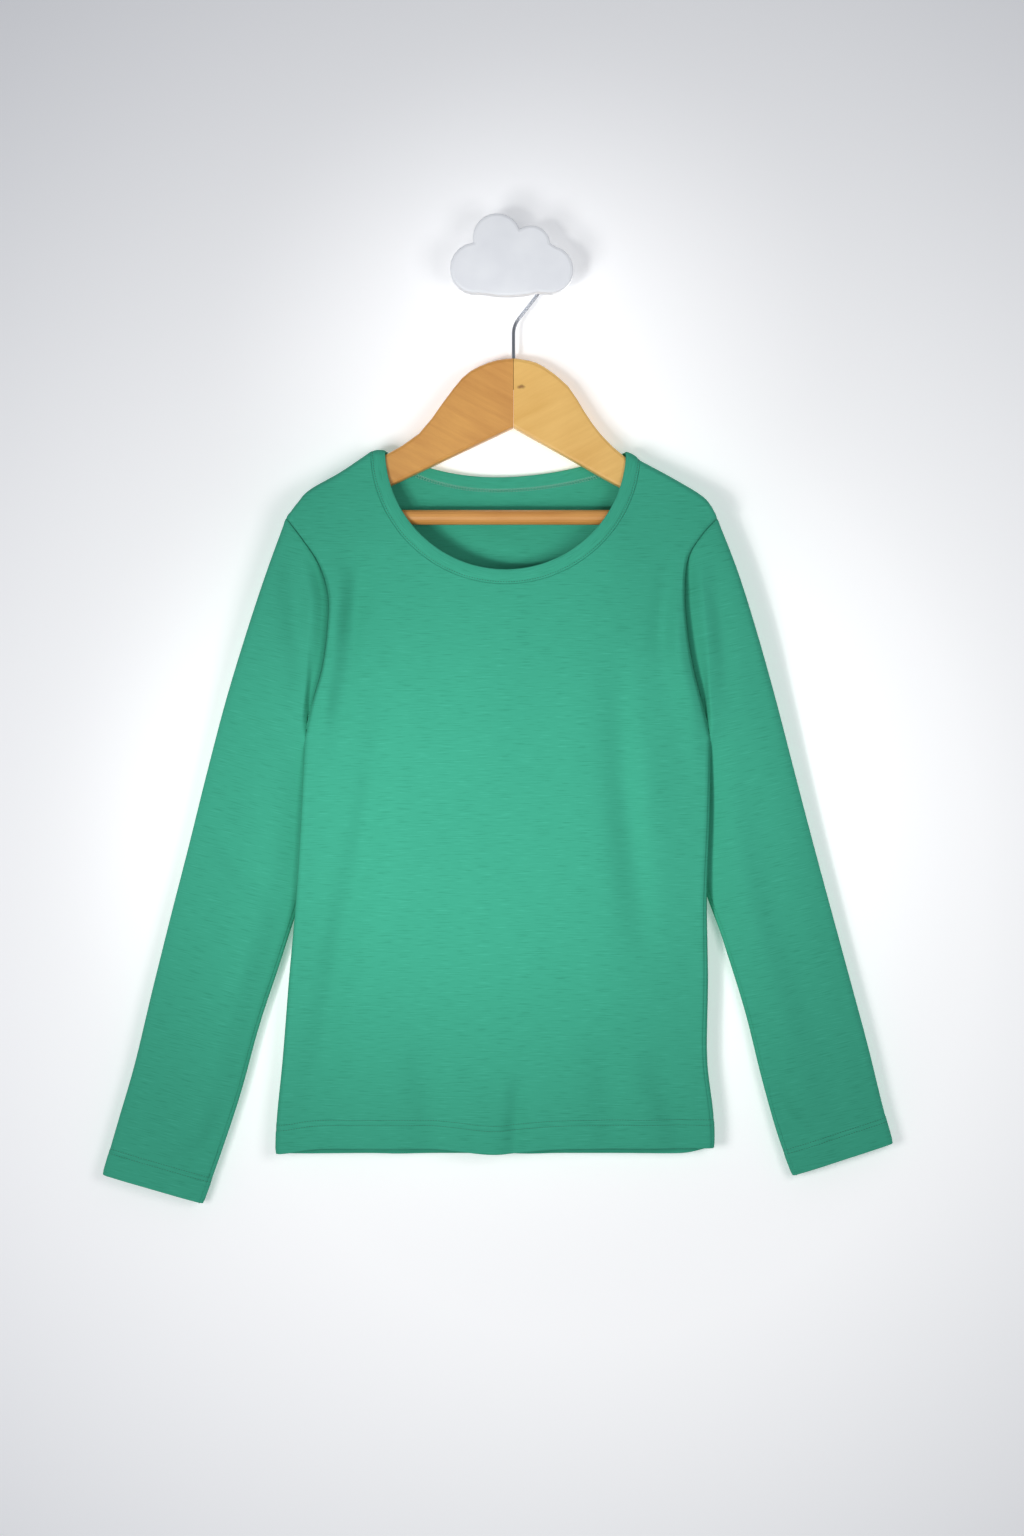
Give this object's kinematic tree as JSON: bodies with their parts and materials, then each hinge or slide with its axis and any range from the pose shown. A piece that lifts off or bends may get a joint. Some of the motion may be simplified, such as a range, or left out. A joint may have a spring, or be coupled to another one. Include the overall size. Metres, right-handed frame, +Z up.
{
  "type": "t-shirt",
  "caption": "Long-sleeved round-neck jersey T-shirt in a child's size, hanging open on a wooden hanger from a cloud-shaped wall hook.",
  "frame": {"origin": "middle of the wall hook's back face, on the wall", "axes": "+Z up, +Y into the wall, so the shirt's front faces -Y and its left as seen from the front is -X"},
  "size_m": [0.6034, 0.0423, 0.7509],
  "materials": {
    "jersey": "plain slub jersey",
    "neck_band": "doubled jersey",
    "hanger_wood": "clear varnish",
    "hook_wire": "bright zinc plate",
    "wall_hook": "matt white paint"
  },
  "bodies": {
    "root": {"front_panel": "jersey", "back_panel": "jersey", "sleeve_left_upper": "jersey", "sleeve_left_lower": "jersey", "sleeve_right_upper": "jersey", "sleeve_right_lower": "jersey", "neck_band": "neck_band", "hanger_arm_left": "hanger_wood", "hanger_arm_right": "hanger_wood", "hanger_bar": "hanger_wood", "hanger_hook": "hook_wire", "wall_peg": "wall_hook", "wall_cloud": "wall_hook"}
  },
  "joints": []
}
